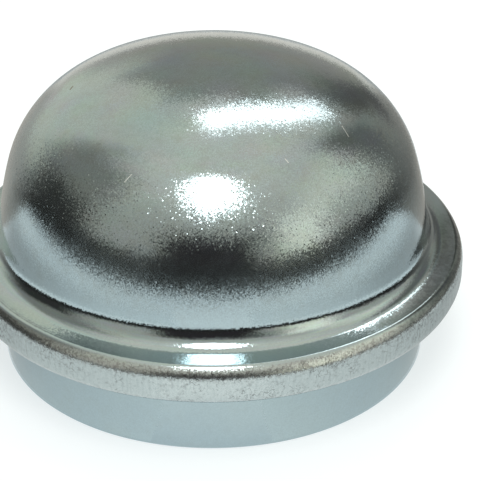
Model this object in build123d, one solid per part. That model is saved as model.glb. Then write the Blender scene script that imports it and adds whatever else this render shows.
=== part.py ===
# Hub grease cap, drawn from one piece of sheet steel: a domed top, a folded flange and a drive-in skirt.
# Millimetres. +Z runs up the cap's axis, and the origin is the centre of the open rim at the bottom.
from build123d import *
import os
from math import cos, radians, sin

# Sheet that the cap is drawn from
sheet = 1.2

# Cup that is drawn first, whose diameter the skirt keeps
cup_diameter = 50.4

# Skirt that is driven into the hub bore
skirt_length = 8.5
skirt_corner = 0.5
rim_chamfer = 0.4

# Flange folded out of the cup, which stops against the hub
flange_overhang = 4.35
seat_fold_inside = 0.5
fold_side = 1.5
bead_fold_inside = 1.0

# Dished top of the flange, with its slope where the neck begins and where it meets the bead in a crisp edge
neck_slope = 15.0
edge_slope = 9.0
edge_lean = 52.0
neck_round = 2.9

# Foot of the dome, a little inside the face of the skirt
foot_inset = 0.08

# Dome above the flange, with its lean from the axis where the wall, the shoulder and the crown begin
wall_lean = 5.5
wall_round = 40.5
shoulder_lean = 16.0
shoulder_round = 13.9
crown_lean = 64.3


def turn(centre, radius, degrees):
    """Point on a circle in the section plane, at an angle above the outward direction."""
    return (centre[0] + radius * cos(radians(degrees)), centre[1] + radius * sin(radians(degrees)))


def bend(centre, radius, start, end):
    """Arc of the section between two angles about its centre."""
    middle = (start + end) / 2
    return ThreePointArc(turn(centre, radius, start), turn(centre, radius, middle), turn(centre, radius, end))


# Outer face of the skirt and the corner under the flange
cup_radius = cup_diameter / 2
corner_centre = (cup_radius + skirt_corner, skirt_length - skirt_corner)
skirt_wall = Line((cup_radius, 0), turn(corner_centre, skirt_corner, 180))
skirt_bend = bend(corner_centre, skirt_corner, 180, 90)

# Outer face of the folded flange, from the seat round its bead to the edge of the dished top
seat_fold = seat_fold_inside + sheet
bead_fold = bead_fold_inside + sheet
flange_radius = cup_radius + flange_overhang
lower_centre = (flange_radius - seat_fold, skirt_length + seat_fold)
upper_centre = (flange_radius - bead_fold, lower_centre[1] + fold_side)
seat = Line(skirt_bend @ 1, turn(lower_centre, seat_fold, -90))
lower_bend = bend(lower_centre, seat_fold, -90, 0)
side = Line(lower_bend @ 1, turn(upper_centre, bead_fold, 0))
upper_bend = bend(upper_centre, bead_fold, 0, edge_lean)

# The dished top runs in from the edge until the neck bend can turn it up into the foot of the dome
foot_radius = cup_radius - foot_inset
neck_lean = 90 - neck_slope
top_lean = 90 - edge_slope
neck_start = foot_radius + neck_round * (cos(radians(wall_lean)) - cos(radians(neck_lean)))
top_edge = upper_bend @ 1
dish_round = (top_edge.X - neck_start) / (cos(radians(neck_lean)) - cos(radians(top_lean)))
dish_centre = turn((top_edge.X, top_edge.Y), dish_round, top_lean)
flange_top = bend(dish_centre, dish_round, top_lean + 180, neck_lean + 180)
neck_centre = turn(dish_centre, neck_round - dish_round, neck_lean)
neck_bend = bend(neck_centre, neck_round, neck_lean + 180, wall_lean + 180)

# Outer face of the dome: a gently bowed wall, a rounder shoulder and a flat crown, each tangent to the last
foot = neck_bend @ 1
wall_centre = turn((foot.X, foot.Y), -wall_round, wall_lean)
wall = bend(wall_centre, wall_round, wall_lean, shoulder_lean)
shoulder_centre = turn(wall_centre, wall_round - shoulder_round, shoulder_lean)
shoulder = bend(shoulder_centre, shoulder_round, shoulder_lean, crown_lean)
crown_start = shoulder @ 1
crown_radius = crown_start.X / cos(radians(crown_lean))
crown_centre = (0, crown_start.Y - crown_radius * sin(radians(crown_lean)))
crown = bend(crown_centre, crown_radius, crown_lean, 90)

# The sheet is as thick everywhere, so its inner face follows the outer one
outer_face = Wire([skirt_wall, skirt_bend, seat, lower_bend, side, upper_bend, flange_top, neck_bend, wall,
                   shoulder, crown])
section = make_face(outer_face.offset_2d(sheet, side=Side.LEFT))
rim_edge = section.vertices().group_by(Axis.Y)[0].sort_by(Axis.X)[-1]
section = chamfer(rim_edge, rim_chamfer)

# The whole shell turns about the axis
grease_cap = revolve(Plane.XZ * section, Axis.Z)

os.makedirs("parts", exist_ok=True)
export_step(grease_cap, "parts/grease_cap.step")
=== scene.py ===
import math

import bpy
from mathutils import Matrix, Vector, noise


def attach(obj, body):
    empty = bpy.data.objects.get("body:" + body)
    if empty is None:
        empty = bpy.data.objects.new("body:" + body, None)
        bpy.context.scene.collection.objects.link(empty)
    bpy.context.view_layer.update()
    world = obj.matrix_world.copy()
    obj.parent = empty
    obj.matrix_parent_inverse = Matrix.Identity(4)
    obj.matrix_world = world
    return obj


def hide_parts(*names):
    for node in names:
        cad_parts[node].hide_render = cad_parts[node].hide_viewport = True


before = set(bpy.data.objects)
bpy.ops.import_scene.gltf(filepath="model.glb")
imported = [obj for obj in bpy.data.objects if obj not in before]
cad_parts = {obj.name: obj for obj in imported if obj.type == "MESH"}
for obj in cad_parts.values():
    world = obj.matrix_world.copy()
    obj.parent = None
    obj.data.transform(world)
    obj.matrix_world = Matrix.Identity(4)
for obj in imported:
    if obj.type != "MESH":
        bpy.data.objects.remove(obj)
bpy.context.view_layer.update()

# Sizes of the cap in metres, and its angles in degrees, as in the solid
MM = 0.001
SHEET = 1.2 * MM
CUP_RADIUS = 25.2 * MM
SKIRT_LENGTH = 8.5 * MM
SKIRT_CORNER = 0.5 * MM
RIM_CHAMFER = 0.4 * MM
FLANGE_OVERHANG = 4.35 * MM
SEAT_FOLD = 0.5 * MM + SHEET
FOLD_SIDE = 1.5 * MM
BEAD_FOLD = 1.0 * MM + SHEET
NECK_SLOPE = 15.0
EDGE_SLOPE = 9.0
EDGE_LEAN = 52.0
NECK_ROUND = 2.9 * MM
FOOT_INSET = 0.08 * MM
WALL_LEAN = 5.5
WALL_ROUND = 40.5 * MM
SHOULDER_LEAN = 16.0
SHOULDER_ROUND = 13.9 * MM
CROWN_LEAN = 64.3

# Small rounds that the solid leaves sharp
RIM_INSIDE_ROUND = 0.15 * MM
EDGE_ROUND = 0.8 * MM

# The dished top is flatter than in the solid, and the neck bend is wider next to the wall than next to it
DISH_SLOPE = 6.0
NECK_EASE = 4.0 * MM
NECK_TURN = 28.0

# Fineness of the turned mesh
SPOKES = 450
OUTER_STEP = 0.6 * MM
OUTER_TURN = 9.0
INNER_STEP = 2.5 * MM
INNER_TURN = 15.0
DISH_STEP = 0.05 * MM
EDGE_STEP = 0.06 * MM
POINT_GAP = 0.005 * MM

# Unevenness of the drawn sheet: long waves everywhere, and upright marks on the flange's bead
WAVE_LENGTH = 8.0 * MM
WAVE_DEPTH = 0.02 * MM
BEAD_START = 28.75 * MM
BEAD_FULL = 29.1 * MM
FOLD_SIDE_TOP = SKIRT_LENGTH + SEAT_FOLD + FOLD_SIDE
STRIA_LENGTH = 1.4 * MM
STRIA_DEPTH = 0.02 * MM
STRIA_RISE = 0.2

# Fine grooves that the drawing tool left round the flange's dished top: radius and depth
DISH_GROOVES = ((28.05 * MM, 0.0015 * MM), (28.30 * MM, 0.002 * MM))
GROOVE_WIDTH = 0.05 * MM

# Fine scratches on the dome and a dark nick in it: both ends of each, in millimetres
SCRATCHES = (
    ((-9.20, -17.71, 29.78), (-8.48, -17.27, 30.42)),
    ((8.00, -15.78, 31.53), (8.34, -16.08, 31.26)),
    ((14.40, -8.86, 31.98), (15.09, -9.98, 31.28)),
)
SCRATCH_WIDTH = 0.08 * MM
SCRATCH_CORE = 0.4
NICK = ((-16.17, -0.30, 32.35), (-15.97, 0.26, 32.45))
NICK_WIDTH = 0.16 * MM

# Darker patch on one side of the flange's top: its azimuth, and how far out that way it begins and is full
DARK_PATCH_SIDE = 75.0
DARK_PATCH_START = 24.3 * MM
DARK_PATCH_FULL = 26.8 * MM

# Colours of the plating
ZINC_BLUE = (0.395, 0.49, 0.525)
ZINC_GREEN = (0.43, 0.52, 0.53)
MOTTLE_GREY = (0.34, 0.39, 0.38)
GRAIN_GREY = (0.30, 0.36, 0.37)
BEAD_GREY = (0.53, 0.59, 0.59)
STREAK_GREY = (0.36, 0.41, 0.41)
WORN_GREY = (0.31, 0.32, 0.32)
CRACK_DARK = (0.10, 0.10, 0.095)
GRIME_GREY = (0.22, 0.23, 0.22)
DARK_PATCH_GREY = (0.16, 0.20, 0.205)
SCRATCH_PALE = (0.60, 0.64, 0.64)
NICK_DARK = (0.17, 0.15, 0.12)

# Middle of the range of every noise
NOISE_MIDDLE = 0.5

# Clouds of noise in the plating: feature length, detail, noise where each starts and is full, values there
DRIFT = (9 * MM, 3.0, 0.35, 0.7, 0.0, 0.5)
MOTTLE = (1.2 * MM, 5.0, 0.45, 0.75, 0.0, 0.45)
STREAK = (0.3 * MM, 3.0, 0.4, 0.8, 0.0, 0.4)
SPECK = (0.35 * MM, 3.0, 0.5, 0.62, 0.0, 0.7)
CRACKED = (4 * MM, 3.0, 0.44, 0.62, 0.0, 1.0)
GRIME = (0.5 * MM, 6.0, 0.52, 0.74, 0.0, 0.4)
DARK_PATCH_CLOUD = (0.6 * MM, 4.0, 0.3, 0.7, 0.7, 1.0)
ROUGHNESS = (4 * MM, 2.0, 0.3, 0.7, 0.15, 0.19)

# Bands of the cap by height or radius: where each starts and ends, and the values before and after it
MOTTLE_HEIGHTS = (15 * MM, 20 * MM, 0.3, 1.0)
GRAIN_HEIGHTS = (16.3 * MM, 18 * MM, 0.3, 0.8)
WORN_BELOW = (8.9 * MM, 9.6 * MM, 1.0, 0.0)
WORN_ABOVE = (11.6 * MM, 12.4 * MM, 0.0, 1.0)
RING_RADII = (26.6 * MM, 27.2 * MM, 0.0, 1.0)
RING_HEIGHTS = (12.4 * MM, 13.0 * MM, 0.0, 1.0)
SPARKLE_FROM = (21 * MM, 28 * MM, 0.0, 1.0)
SPARKLE_TO = (27 * MM, 32 * MM, 1.0, 0.18)
NECK_SMOOTH = (16 * MM, 19 * MM, 0.5, 1.0)
CROWN_SMOOTH = (28 * MM, 32 * MM, 1.0, 0.7)

# Upright streaks and fine cracks on the bead
STREAK_STRETCH = (1.0, 1.0, 0.15)
CRACK_LENGTH = 0.8 * MM
CRACK_DETAIL = 4.0
CRACK_EDGE = (0.0, 0.025, 0.8, 0.0)

# Crystals of the plating: their size, and how far their facets turn where they sparkle least and most
CRYSTAL = 0.12 * MM
TILT = (0.04, 0.11)
RARE_TILT = (0.05, 0.36)
RARITY = 6.0
BEAD_TILT = 0.12
DENT_LENGTH = 1.7 * MM
DENT_DETAIL = 2.0
DENT_DEPTH = 0.006 * MM
BEAD_ROUGHNESS = 0.15
SCRATCH_ROUGHNESS = 0.3

# Camera
VIEW_ELEVATION = 30.0
VIEW_DISTANCE = 240.0 * MM
VIEW_TARGET = Vector((3.2, 0.0, 12.3)) * MM
SENSOR = 36.0
LENS = 151.0
CLIP_START = 0.01

# White paper floor: its colour in the light, and its glow to the camera and in the metal
FLOOR_HALF = 2.0
PAPER_COLOUR = (0.40, 0.41, 0.42, 1)
PAPER_GLOW = (0.92, 0.98, 1.0, 1)
PAPER_STRENGTH = 0.68

# Lamps: name, directions (azimuth, elevation) of both ends, width in degrees, radiance, shape
LAMPS = (
    ("front_softbox", (0, 43), (0, 77), 21, 7.0, "ELLIPSE"),
    ("back_strip", (-172, 65.5), (150, 51), 9, 3.2, "RECTANGLE"),
    ("side_strip", (150, 52), (147, 38), 7, 2.4, "RECTANGLE"),
)
LAMP_DISTANCE = 0.6
LAMP_AIM = Vector((0, 0, 20 * MM))

# Room round the cap: tones low and high in it, and how uneven its outlines and tones are
ROOM_LOW = (0.56, 0.56, 0.54)
ROOM_HIGH = (0.90, 0.90, 0.86)
ROOM_RISE = (20, 75)
ROOM_WARMTH = (1.11, 1.05, 0.95)
ROOM_DETAIL = 3.0
WANDER_SCALE = 3.0
WANDER = 0.3
PATCHY_SCALE = 7.0
PATCHINESS = 0.35

# Soft-edged screens and walls in the room: azimuths, elevations, half the width of their soft edge, tone
ROOM_PATCHES = (
    ((-168, -120), (3, 62), 8, (0.80, 0.82, 0.77)),
    ((162, 192), (-5, 47), 4, (0.39, 0.39, 0.38)),
    ((162, 198), (22, 47), 4, (0.39, 0.39, 0.38)),
    ((116, 140), (-5, 50), 9, (0.20, 0.20, 0.20)),
    ((144, 161), (-5, 34), 7, (0.14, 0.14, 0.14)),
    ((60, 104), (22, 48), 10, (1.00, 1.02, 0.94)),
    ((-122, -66), (-10, 56), 12, (0.31, 0.31, 0.30)),
    ((-125, 122), (-20, 0), 6, (0.04, 0.04, 0.04)),
    ((-29, 25), (-20, 24), 9, (0.04, 0.035, 0.04)),
    ((-114, -74), (-20, 21), 9, (0.05, 0.05, 0.05)),
    ((76, 118), (-20, 0), 6, (0.05, 0.05, 0.06)),
    ((38, 64), (-2, 32), 8, (1.3, 1.3, 1.2)),
)

# Grey mat round the white paper: azimuth, nearest distance, and its shade there and further out
MAT_STEP = 2.0
MAT_BAND = 0.05
MAT_END = 3.0
MAT_HEIGHT = 0.3 * MM
MAT_STOPS = (
    (-210, 0.08, 0.40, 0.30),
    (-204, 0.10, 0.38, 0.34),
    (-200, 0.19, 0.86, 0.80),
    (-160, 0.19, 0.86, 0.80),
    (-156, 0.10, 0.48, 0.48),
    (-150, 0.05, 0.50, 0.50),
    (-126, 0.035, 0.46, 0.46),
    (-114, 0.06, 0.42, 0.15),
    (-104, 0.12, 0.03, 0.03),
    (98, 0.13, 0.03, 0.03),
    (108, 0.09, 0.20, 0.08),
    (118, 0.05, 0.45, 0.16),
    (128, 0.04, 0.42, 0.22),
    (138, 0.05, 0.42, 0.28),
    (150, 0.08, 0.40, 0.30),
)

# The paper's white as the metal sees it, and the height over the floor of the sheets of painted shadow
PAPER_WHITE = (0.97, 1.02, 1.01)
PAINTED_SHADOW_HEIGHT = 0.2 * MM

# Painted shadow of the cap on the paper by its sides, which only the metal sees: where it starts, fades and
# ends, and its share of white by azimuth
SIDE_NEAR = 0.0255
SIDE_FAR = 0.064
SIDE_END = 0.085
SIDE_PALE = 1.0
SIDE_SHADOW_STOPS = (
    (16, 1.0),
    (36, 0.91),
    (48, 0.85),
    (60, 0.78),
    (72, 0.66),
    (84, 0.57),
    (108, 0.55),
    (124, 1.0),
)

# Painted shadow of the cap on the paper behind it, given in the same way
BACK_NEAR = 0.040
BACK_FAR = 0.15
BACK_END = 0.19
BACK_PALE = 0.86
BACK_SHADOW_STOPS = ((146, 1.0), (160, 0.45), (200, 0.45), (214, 1.0))


def turn(centre, radius, degrees):
    """Point on a circle in the section plane, at an angle above the outward direction."""
    angle = math.radians(degrees)
    return (centre[0] + radius * math.cos(angle), centre[1] + radius * math.sin(angle))


def direction(azimuth, elevation):
    """Unit vector from the cap, with azimuth 0 towards the camera and 90 towards +X."""
    a = math.radians(azimuth)
    e = math.radians(elevation)
    return Vector((math.sin(a) * math.cos(e), -math.cos(a) * math.cos(e), math.sin(e)))


def share(value, start, end):
    """How far a value is from start to end, from 0 to 1."""
    return min(1.0, max(0.0, (value - start) / (end - start)))


def arcs_meet(bead, bead_round, dish, dish_round):
    """Leans on the flange's bead and on its dished top where arcs of these radii meet."""
    apart = math.dist(bead, dish)
    bearing = math.degrees(math.atan2(dish[1] - bead[1], dish[0] - bead[0]))
    at_bead = math.acos((apart ** 2 + bead_round ** 2 - dish_round ** 2) / (2 * apart * bead_round))
    at_dish = math.acos((apart ** 2 + dish_round ** 2 - bead_round ** 2) / (2 * apart * dish_round))
    return bearing - math.degrees(at_bead), bearing + math.degrees(at_dish)


def last_bend(start, lean, dish, dish_round):
    """Bend that goes on from a point at this lean into the dished top: centre, radius and last lean."""
    angle = math.radians(lean)
    along = (start[0] - dish[0]) * math.cos(angle) + (start[1] - dish[1]) * math.sin(angle)
    radius = (dish_round ** 2 - math.dist(start, dish) ** 2) / (2 * (along + dish_round))
    centre = turn(start, radius, lean)
    return centre, radius, math.degrees(math.atan2(dish[1] - centre[1], dish[0] - centre[0]))


def rim_bend(depth, step):
    """Round in place of the rim's chamfer on the outer face, or the small round on the inner one."""
    if not depth:
        return ((CUP_RADIUS - RIM_CHAMFER, RIM_CHAMFER), RIM_CHAMFER, -90, 0, step)
    centre = (CUP_RADIUS - SHEET + RIM_INSIDE_ROUND, RIM_INSIDE_ROUND)
    return (centre, SHEET - RIM_INSIDE_ROUND, 90, 0, step)


def dish_and_foot(edge):
    """Centre and radius of the dished top that starts at this edge, and the dome's foot as in the solid."""
    neck_lean = 90 - NECK_SLOPE
    top_lean = 90 - EDGE_SLOPE
    neck_across = math.cos(math.radians(neck_lean))
    neck_start = CUP_RADIUS - FOOT_INSET + NECK_ROUND * (math.cos(math.radians(WALL_LEAN)) - neck_across)
    dish_round = (edge[0] - neck_start) / (neck_across - math.cos(math.radians(top_lean)))
    solid_dish = turn(edge, dish_round, top_lean)
    foot = turn(turn(solid_dish, NECK_ROUND - dish_round, neck_lean), -NECK_ROUND, WALL_LEAN)
    return turn(edge, dish_round, 90 - DISH_SLOPE), dish_round, foot


def dome_bends(foot, step):
    """Bends of the wall, shoulder and crown, each tangent to the last."""
    wall = turn(foot, -WALL_ROUND, WALL_LEAN)
    shoulder = turn(wall, WALL_ROUND - SHOULDER_ROUND, SHOULDER_LEAN)
    crown_start = turn(shoulder, SHOULDER_ROUND, CROWN_LEAN)
    crown_round = crown_start[0] / math.cos(math.radians(CROWN_LEAN))
    crown = turn(crown_start, -crown_round, CROWN_LEAN)
    return [
        (wall, WALL_ROUND, WALL_LEAN, SHOULDER_LEAN, step),
        (shoulder, SHOULDER_ROUND, SHOULDER_LEAN, CROWN_LEAN, step),
        (crown, crown_round, CROWN_LEAN, 90, step),
    ]


def section_bends(depth, step):
    """Each bend of one face of the sheet, from rim to crown: centre, radius, end angles, step along it."""
    flange_radius = CUP_RADIUS + FLANGE_OVERHANG
    corner = (CUP_RADIUS + SKIRT_CORNER, SKIRT_LENGTH - SKIRT_CORNER)
    lower = (flange_radius - SEAT_FOLD, SKIRT_LENGTH + SEAT_FOLD)
    upper = (flange_radius - BEAD_FOLD, FOLD_SIDE_TOP)
    dish, dish_round, foot = dish_and_foot(turn(upper, BEAD_FOLD, EDGE_LEAN))
    inset = depth or EDGE_ROUND
    bead_end, dish_start = arcs_meet(upper, BEAD_FOLD - inset, dish, dish_round + inset)
    edge_bend = (turn(upper, BEAD_FOLD - inset, bead_end), inset, bead_end, dish_start, EDGE_STEP)
    ease = turn(foot, NECK_EASE, WALL_LEAN)
    ease_end = turn(ease, -NECK_EASE, NECK_TURN)
    neck, neck_round, neck_end = last_bend(ease_end, NECK_TURN, dish, dish_round)
    return [
        rim_bend(depth, step),
        (corner, -SKIRT_CORNER, 0, -90, step),
        (lower, SEAT_FOLD, -90, 0, step),
        (upper, BEAD_FOLD, 0, bead_end, step),
        *([] if depth else [edge_bend]),
        (dish, -dish_round, dish_start, neck_end, step if depth else DISH_STEP),
        (neck, -neck_round, neck_end, NECK_TURN, step),
        (ease, -NECK_EASE, NECK_TURN, WALL_LEAN, step),
        *dome_bends(foot, step),
    ]


def bend_points(depth, bend, turn_step):
    """Points along one bend on a face of the sheet, each with its lean."""
    centre, radius, start, end, step = bend
    sweep = abs(end - start)
    length = abs(radius - depth) * math.radians(sweep)
    count = max(math.ceil(sweep / turn_step), math.ceil(length / step))
    leans = [start + (end - start) * i / count for i in range(count + 1)]
    return [(*turn(centre, radius - depth, lean), lean) for lean in leans]


def face_line(depth, step, turn_step):
    """Section points from the rim to the crown on one face of the sheet, with straight stretches filled."""
    line = []
    for bend in section_bends(depth, step):
        for i, point in enumerate(bend_points(depth, bend, turn_step)):
            last = line[-1] if line else point
            gap = math.dist(last[:2], point[:2])
            if line and gap < POINT_GAP:
                continue
            fill = max(1, math.ceil(gap / step)) if i == 0 else 1
            for k in range(1, fill + 1):
                line.append(tuple(a + (b - a) * k / fill for a, b in zip(last, point)))
    return line


def ripple(spot):
    """Smooth noise from 0 to 1."""
    return (1 + noise.noise(spot)) / 2


def sink(spot, radius):
    """How far the drawn sheet lies under its nominal outer face at a point."""
    depth = WAVE_DEPTH * ripple(spot / WAVE_LENGTH)
    upright = Vector((spot.x, spot.y, STRIA_RISE * spot.z)) / STRIA_LENGTH
    depth += STRIA_DEPTH * ripple(upright) * share(radius, BEAD_START, BEAD_FULL)
    if spot.z > FOLD_SIDE_TOP:
        for middle, groove in DISH_GROOVES:
            depth += groove * math.exp(-((radius - middle) / GROOVE_WIDTH) ** 2)
    return depth


def ring_points(radius, height, lean, is_outer):
    """One ring of the shell, which is uneven on the outer face of the sheet."""
    across = math.cos(math.radians(lean))
    rise = math.sin(math.radians(lean))
    points = []
    for s in range(SPOKES):
        angle = 2 * math.pi * s / SPOKES
        out = Vector((math.cos(angle), math.sin(angle), 0))
        spot = out * radius + Vector((0, 0, height))
        if is_outer:
            spot -= sink(spot, radius) * (out * across + Vector((0, 0, rise)))
        points.append(spot)
    return points


def shell_faces(rings):
    """Faces between the rings, and the fans round the two points on the axis."""
    faces = []
    for ring in range(rings - 1):
        for s in range(SPOKES):
            a = ring * SPOKES + s
            b = ring * SPOKES + (s + 1) % SPOKES
            faces.append((a, a + SPOKES, b + SPOKES, b))
    outer_top = rings * SPOKES
    inner_top = outer_top + 1
    last_ring = (rings - 1) * SPOKES
    for s in range(SPOKES):
        after = (s + 1) % SPOKES
        faces.append((outer_top, s, after))
        faces.append((inner_top, last_ring + after, last_ring + s))
    return faces


def cap_mesh():
    """The cap as one closed turned shell, from the crown down the outer face and up the inner one."""
    outer = face_line(0.0, OUTER_STEP, OUTER_TURN)
    inner = face_line(SHEET, INNER_STEP, INNER_TURN)
    rings = [(*point, True) for point in reversed(outer[:-1])]
    rings += [(*point, False) for point in inner[:-1]]
    points = [spot for ring in rings for spot in ring_points(*ring)]
    points.append(Vector((0, 0, outer[-1][1] - WAVE_DEPTH / 2)))
    points.append(Vector((0, 0, inner[-1][1])))
    mesh = bpy.data.meshes.new("cap_shell")
    mesh.from_pydata(points, [], shell_faces(len(rings)))
    mesh.shade_smooth()
    return mesh


def place(obj):
    """Links a new object into the scene."""
    bpy.context.scene.collection.objects.link(obj)
    return obj


def new_tree(data):
    """Empty node tree of a material or world, and its output's surface socket."""
    data.use_nodes = True
    tree = data.node_tree
    tree.nodes.clear()
    kind = "ShaderNodeOutputWorld" if isinstance(data, bpy.types.World) else "ShaderNodeOutputMaterial"
    return tree, tree.nodes.new(kind).inputs["Surface"]


def feed(tree, socket, value):
    """Sets a socket from a constant or from another node's output."""
    if isinstance(value, bpy.types.NodeSocket):
        tree.links.new(value, socket)
    else:
        socket.default_value = value


def node(tree, kind, **inputs):
    """New node with these inputs, where an underscore stands for a space."""
    made = tree.nodes.new(kind)
    for name, value in inputs.items():
        feed(tree, made.inputs[name.replace("_", " ")], value)
    return made


def calc(tree, operation, a, b=0.0):
    """Arithmetic on one or two numbers."""
    made = tree.nodes.new("ShaderNodeMath")
    made.operation = operation
    feed(tree, made.inputs[0], a)
    feed(tree, made.inputs[1], b)
    return made.outputs[0]


def times(tree, a, b):
    """Product of two numbers."""
    return calc(tree, "MULTIPLY", a, b)


def vector(tree, operation, a, b=(0.0, 0.0, 0.0)):
    """Vector arithmetic on one or two vectors, or on a vector and its scale."""
    made = tree.nodes.new("ShaderNodeVectorMath")
    made.operation = operation
    feed(tree, made.inputs[0], a)
    feed(tree, made.inputs[3 if operation == "SCALE" else 1], b)
    return made.outputs["Value" if operation in ("DOT_PRODUCT", "LENGTH") else "Vector"]


def ramp(tree, value, start, end, low=0.0, high=1.0):
    """Smooth step of a value between two limits."""
    made = tree.nodes.new("ShaderNodeMapRange")
    made.interpolation_type = "SMOOTHSTEP"
    for socket, item in zip(made.inputs, (value, start, end, low, high)):
        feed(tree, socket, item)
    return made.outputs[0]


def blend(tree, share_of_second, first, second):
    """Mix of two colours."""
    made = tree.nodes.new("ShaderNodeMix")
    made.data_type = "RGBA"
    feed(tree, made.inputs["Factor"], share_of_second)
    feed(tree, made.inputs["A"], (*first, 1) if isinstance(first, tuple) else first)
    feed(tree, made.inputs["B"], (*second, 1) if isinstance(second, tuple) else second)
    return made.outputs["Result"]


def speckle(tree, coords, length, detail):
    """Noise with features of about this length."""
    return node(tree, "ShaderNodeTexNoise", Vector=coords, Scale=1 / length, Detail=detail).outputs["Fac"]


def cloud(tree, coords, kind):
    """One of the plating's clouds of noise."""
    length, detail, start, full, low, high = kind
    return ramp(tree, speckle(tree, coords, length, detail), start, full, low, high)


def about_zero(tree, colour):
    """Noise colour as a vector that is as often below zero as above it."""
    return vector(tree, "SUBTRACT", colour, (NOISE_MIDDLE, NOISE_MIDDLE, NOISE_MIDDLE))


def facets(tree, normal, crystal, tilt, rare_tilt):
    """Turns each crystal's normal a little, and a few crystals' normals much more."""
    chance = node(tree, "ShaderNodeTexWhiteNoise", Vector=crystal["Position"]).outputs["Value"]
    rare = times(tree, calc(tree, "POWER", chance, RARITY), rare_tilt)
    lean = vector(tree, "SCALE", about_zero(tree, crystal["Color"]), calc(tree, "ADD", rare, tilt))
    return vector(tree, "NORMALIZE", vector(tree, "ADD", normal, lean))


def scratched(tree, coords, ends, width):
    """1 on a straight scratch between two points, and 0 away from it."""
    start, end = (Vector(point) * MM for point in ends)
    run = end - start
    offset = vector(tree, "SUBTRACT", coords, start)
    along = calc(tree, "DIVIDE", vector(tree, "DOT_PRODUCT", offset, run), run.length_squared)
    along = calc(tree, "MINIMUM", calc(tree, "MAXIMUM", along, 0.0), 1.0)
    away = vector(tree, "SUBTRACT", offset, vector(tree, "SCALE", run, along))
    return ramp(tree, vector(tree, "LENGTH", away), SCRATCH_CORE * width, width, 1.0, 0.0)


def sheet_tint(tree, coords, height):
    """Bluish zinc that drifts towards green, with grey mottling on the dome."""
    tint = blend(tree, cloud(tree, coords, DRIFT), ZINC_BLUE, ZINC_GREEN)
    mottle = times(tree, cloud(tree, coords, MOTTLE), ramp(tree, height, *MOTTLE_HEIGHTS))
    return blend(tree, mottle, tint, MOTTLE_GREY)


def bead_tint(tree, coords, height, bead, tint):
    """Paler bead with upright streaks, worn specks at its corners, fine cracks and grime."""
    upright = vector(tree, "MULTIPLY", coords, STREAK_STRETCH)
    worn = calc(tree, "ADD", ramp(tree, height, *WORN_BELOW), ramp(tree, height, *WORN_ABOVE))
    ridge = calc(tree, "SUBTRACT", speckle(tree, coords, CRACK_LENGTH, CRACK_DETAIL), NOISE_MIDDLE)
    crack = ramp(tree, calc(tree, "ABSOLUTE", ridge), *CRACK_EDGE)
    marks = [
        (cloud(tree, upright, STREAK), STREAK_GREY),
        (times(tree, worn, cloud(tree, coords, SPECK)), WORN_GREY),
        (times(tree, crack, cloud(tree, coords, CRACKED)), CRACK_DARK),
        (cloud(tree, coords, GRIME), GRIME_GREY),
    ]
    tint = blend(tree, bead, tint, BEAD_GREY)
    for mark, colour in marks:
        tint = blend(tree, times(tree, mark, bead), tint, colour)
    return tint


def side_patch_tint(tree, coords, height, radius, tint):
    """Darker patch on one side of the flange's dished top."""
    ring = times(tree, ramp(tree, radius, *RING_RADII), ramp(tree, height, *RING_HEIGHTS))
    beside = vector(tree, "DOT_PRODUCT", coords, direction(DARK_PATCH_SIDE, 0))
    dark_patch = times(tree, ramp(tree, beside, DARK_PATCH_START, DARK_PATCH_FULL), cloud(tree, coords, DARK_PATCH_CLOUD))
    return blend(tree, times(tree, dark_patch, ring), tint, DARK_PATCH_GREY)


def crystal_normal(tree, coords, height, bead, crystal):
    """Faint dents and crystal facets, which turn furthest on the shoulder and the bead."""
    sparkle = times(tree, ramp(tree, height, *SPARKLE_FROM), ramp(tree, height, *SPARKLE_TO))
    tilt = calc(tree, "MAXIMUM", ramp(tree, sparkle, 0.0, 1.0, *TILT), times(tree, bead, BEAD_TILT))
    rare_tilt = ramp(tree, sparkle, 0.0, 1.0, *RARE_TILT)
    dents = speckle(tree, coords, DENT_LENGTH, DENT_DETAIL)
    dented = node(tree, "ShaderNodeBump", Height=dents, Distance=DENT_DEPTH, Strength=1.0).outputs["Normal"]
    return facets(tree, dented, crystal, tilt, rare_tilt)


def plate_roughness(tree, coords, height, bead):
    """Uneven gloss that is smoother on the crown and from the neck down, and rougher on the bead."""
    rough = times(tree, cloud(tree, coords, ROUGHNESS), ramp(tree, height, *NECK_SMOOTH))
    rough = times(tree, rough, ramp(tree, height, *CROWN_SMOOTH))
    return calc(tree, "ADD", rough, times(tree, bead, BEAD_ROUGHNESS))


def zinc_material():
    """Bright zinc plate with a thin bluish passivate, and the marks of its use."""
    material = bpy.data.materials.new("zinc_plate")
    tree, surface = new_tree(material)
    coords = tree.nodes.new("ShaderNodeTexCoord").outputs["Object"]
    height = node(tree, "ShaderNodeSeparateXYZ", Vector=coords).outputs["Z"]
    radius = vector(tree, "LENGTH", vector(tree, "MULTIPLY", coords, (1.0, 1.0, 0.0)))
    bead = ramp(tree, radius, BEAD_START, BEAD_FULL)
    crystal = node(tree, "ShaderNodeTexVoronoi", Vector=coords, Scale=1 / CRYSTAL).outputs
    grain = times(tree, crystal["Color"], ramp(tree, height, *GRAIN_HEIGHTS))

    tint = sheet_tint(tree, coords, height)
    tint = bead_tint(tree, coords, height, bead, tint)
    tint = side_patch_tint(tree, coords, height, radius, tint)
    tint = blend(tree, grain, tint, GRAIN_GREY)
    rough = plate_roughness(tree, coords, height, bead)
    for ends in SCRATCHES:
        scratch = scratched(tree, coords, ends, SCRATCH_WIDTH)
        tint = blend(tree, scratch, tint, SCRATCH_PALE)
        rough = calc(tree, "ADD", rough, times(tree, scratch, SCRATCH_ROUGHNESS))
    tint = blend(tree, scratched(tree, coords, NICK, NICK_WIDTH), tint, NICK_DARK)

    normal = crystal_normal(tree, coords, height, bead, crystal)
    shader = node(tree, "ShaderNodeBsdfPrincipled", Base_Color=tint, Metallic=1.0, Roughness=rough)
    tree.links.new(normal, shader.inputs["Normal"])
    tree.links.new(shader.outputs[0], surface)
    return material


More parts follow.
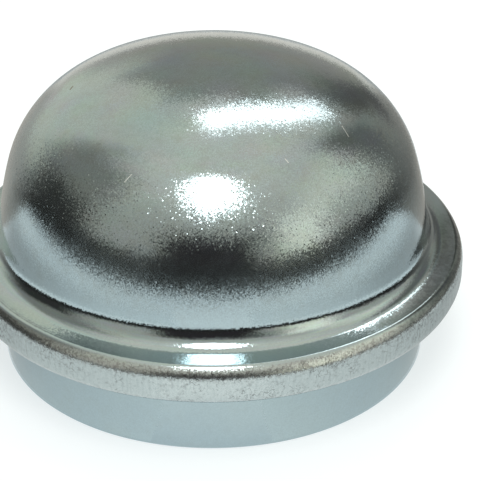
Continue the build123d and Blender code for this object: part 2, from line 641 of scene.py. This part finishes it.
def floor_material():
    """White paper, which takes the shadow and shows as white to the camera and in the metal."""
    material = bpy.data.materials.new("paper_floor")
    tree, surface = new_tree(material)
    path = tree.nodes.new("ShaderNodeLightPath").outputs
    seen = calc(tree, "ADD", path["Is Camera Ray"], path["Is Glossy Ray"])
    seen = calc(tree, "ADD", seen, path["Is Transmission Ray"])
    paper = node(tree, "ShaderNodeBsdfDiffuse", Color=PAPER_COLOUR)
    glow = node(tree, "ShaderNodeEmission", Color=PAPER_GLOW, Strength=times(tree, seen, PAPER_STRENGTH))
    both = tree.nodes.new("ShaderNodeAddShader")
    tree.links.new(paper.outputs[0], both.inputs[0])
    tree.links.new(glow.outputs[0], both.inputs[1])
    tree.links.new(both.outputs[0], surface)
    return material


def mat_material():
    """Even glow in the shade that the points of a mat or of a painted shadow hold."""
    material = bpy.data.materials.new("mat")
    tree, surface = new_tree(material)
    shade = tree.nodes.new("ShaderNodeAttribute")
    shade.attribute_name = "shade"
    glow = node(tree, "ShaderNodeEmission", Color=shade.outputs["Color"], Strength=1.0)
    tree.links.new(glow.outputs[0], surface)
    return material


def floor():
    """Square of white paper that the cap stands on."""
    h = FLOOR_HALF
    mesh = bpy.data.meshes.new("floor")
    mesh.from_pydata([(-h, -h, 0), (h, -h, 0), (h, h, 0), (-h, h, 0)], [], [(0, 1, 2, 3)])
    mesh.materials.append(floor_material())
    place(bpy.data.objects.new("floor", mesh))


def row_at(rows, azimuth):
    """Distances and shades of a mat at an azimuth, between those that are given."""
    for first, last in zip(rows, rows[1:]):
        if azimuth <= last[0]:
            part = share(azimuth, first[0], last[0])
            return [a + (b - a) * part for a, b in zip(first[1:], last[1:])]


def mat(name, rows, colour, height):
    """A mat, or a sheet of painted shadow, that only the metal sees. A row is an azimuth, then distances,
    each with its shade.
    """
    points = []
    shades = []
    spokes = round((rows[-1][0] - rows[0][0]) / MAT_STEP)
    for i in range(spokes + 1):
        azimuth = rows[0][0] + i * MAT_STEP
        row = row_at(rows, azimuth)
        for distance, shade in zip(row[::2], row[1::2]):
            points.append(direction(azimuth, 0) * distance + Vector((0, 0, height)))
            shades += [*(shade * part for part in colour), 1.0]
    faces = []
    rings = len(points) // (spokes + 1)
    for i in range(spokes):
        for k in range(rings * i, rings * (i + 1) - 1):
            faces.append((k, k + 1, k + rings + 1, k + rings))
    mesh = bpy.data.meshes.new(name)
    mesh.from_pydata(points, [], faces)
    mesh.color_attributes.new("shade", "FLOAT_COLOR", "POINT").data.foreach_set("color", shades)
    mesh.materials.append(mat_material())
    obj = place(bpy.data.objects.new(name, mesh))
    obj.visible_camera = False
    obj.visible_diffuse = False
    obj.visible_shadow = False


def mats():
    """The grey mat round the paper, and the painted shadow of the cap on the paper at its sides and back.
    """
    ring = [(a, near, shade, near + MAT_BAND, far, MAT_END, far) for a, near, shade, far in MAT_STOPS]
    right = [(a, SIDE_NEAR, shade, SIDE_FAR, shade, SIDE_END, SIDE_PALE) for a, shade in SIDE_SHADOW_STOPS]
    left = [(-row[0], *row[1:]) for row in reversed(right)]
    back = [(a, BACK_NEAR, shade, BACK_FAR, shade, BACK_END, BACK_PALE) for a, shade in BACK_SHADOW_STOPS]
    mat("mat", ring, ROOM_WARMTH, MAT_HEIGHT)
    # Glowing sheets of painted shadow: the cap's shadow on the paper at its sides and back, which only the
    # metal sees
    mat("right_painted_shadow", right, PAPER_WHITE, PAINTED_SHADOW_HEIGHT)
    mat("left_painted_shadow", left, PAPER_WHITE, PAINTED_SHADOW_HEIGHT)
    mat("back_painted_shadow", back, PAPER_WHITE, PAINTED_SHADOW_HEIGHT)


def lamp(name, start, end, width, radiance, shape):
    """A soft lamp that faces the cap and reaches from one direction to another as seen from there."""
    first = direction(*start)
    last = direction(*end)
    light = bpy.data.lights.new(name, "AREA")
    light.shape = shape
    light.size = 2 * LAMP_DISTANCE * math.tan(first.angle(last) / 2)
    light.size_y = 2 * LAMP_DISTANCE * math.tan(math.radians(width / 2))
    area = light.size * light.size_y * (math.pi / 4 if shape == "ELLIPSE" else 1.0)
    light.energy = radiance * math.pi * area
    obj = place(bpy.data.objects.new(name, light))
    towards = (first + last).normalized()
    along = (last - first).normalized()
    obj.location = towards * LAMP_DISTANCE + LAMP_AIM
    obj.rotation_mode = "QUATERNION"
    obj.rotation_quaternion = Matrix((along, towards.cross(along), towards)).transposed().to_quaternion()


def within(tree, angle, half, soft):
    """1 where an angle from the middle of a patch lies inside it, and 0 outside, with a soft edge."""
    return ramp(tree, angle, math.radians(half - soft), math.radians(half + soft), 1.0, 0.0)


def room_patch(tree, before, rise, view, azimuths, elevations, soft, shade):
    """Mixes one soft-edged patch of the room over the tones before it."""
    middle = sum(azimuths) / 2
    ahead = vector(tree, "DOT_PRODUCT", view, direction(middle, 0))
    beside = vector(tree, "DOT_PRODUCT", view, direction(middle + 90, 0))
    swing = calc(tree, "ABSOLUTE", calc(tree, "ARCTAN2", beside, ahead))
    tilt = calc(tree, "ABSOLUTE", calc(tree, "SUBTRACT", rise, math.radians(sum(elevations) / 2)))
    in_azimuth = within(tree, swing, (azimuths[1] - azimuths[0]) / 2, soft)
    in_elevation = within(tree, tilt, (elevations[1] - elevations[0]) / 2, soft)
    return blend(tree, times(tree, in_azimuth, in_elevation), before, shade)


def room_noise(tree, straight, scale, strength):
    """Uneven vectors about zero over the room."""
    made = node(tree, "ShaderNodeTexNoise", Vector=straight, Scale=scale, Detail=ROOM_DETAIL)
    return vector(tree, "SCALE", about_zero(tree, made.outputs["Color"]), strength)


def room():
    """The studio round the cap: pale walls and ceiling with soft darker screens of uneven outline."""
    world = bpy.data.worlds.new("studio")
    bpy.context.scene.world = world
    tree, surface = new_tree(world)
    straight = tree.nodes.new("ShaderNodeTexCoord").outputs["Generated"]
    wander = room_noise(tree, straight, WANDER_SCALE, WANDER)
    view = vector(tree, "NORMALIZE", vector(tree, "ADD", straight, wander))
    rise = calc(tree, "ARCSINE", node(tree, "ShaderNodeSeparateXYZ", Vector=view).outputs["Z"])
    low, high = (math.radians(elevation) for elevation in ROOM_RISE)
    tone = blend(tree, ramp(tree, rise, low, high), ROOM_LOW, ROOM_HIGH)
    for patch in ROOM_PATCHES:
        tone = room_patch(tree, tone, rise, view, *patch)
    patchy = room_noise(tree, straight, PATCHY_SCALE, PATCHINESS)
    tone = vector(tree, "MULTIPLY", tone, vector(tree, "ADD", patchy, ROOM_WARMTH))
    glow = node(tree, "ShaderNodeBackground", Color=tone, Strength=1.0)
    tree.links.new(glow.outputs[0], surface)


def studio():
    """Floor, mats, room and lamps."""
    floor()
    mats()
    room()
    for values in LAMPS:
        lamp(*values)


def camera():
    """Camera of the photograph, which looks down on the cap from the front."""
    data = bpy.data.cameras.new("camera")
    data.sensor_width = SENSOR
    data.lens = LENS
    data.clip_start = CLIP_START
    obj = place(bpy.data.objects.new("camera", data))
    back = direction(0, VIEW_ELEVATION)
    obj.location = VIEW_TARGET + back * VIEW_DISTANCE
    obj.rotation_mode = "QUATERNION"
    obj.rotation_quaternion = (-back).to_track_quat("-Z", "Y")
    bpy.context.scene.camera = obj


cap = place(bpy.data.objects.new("cap_shell", cap_mesh()))
cap.data.materials.append(zinc_material())
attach(cap, "root")
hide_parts("grease_cap")

studio()
camera()
bpy.context.scene.view_settings.view_transform = "Standard"
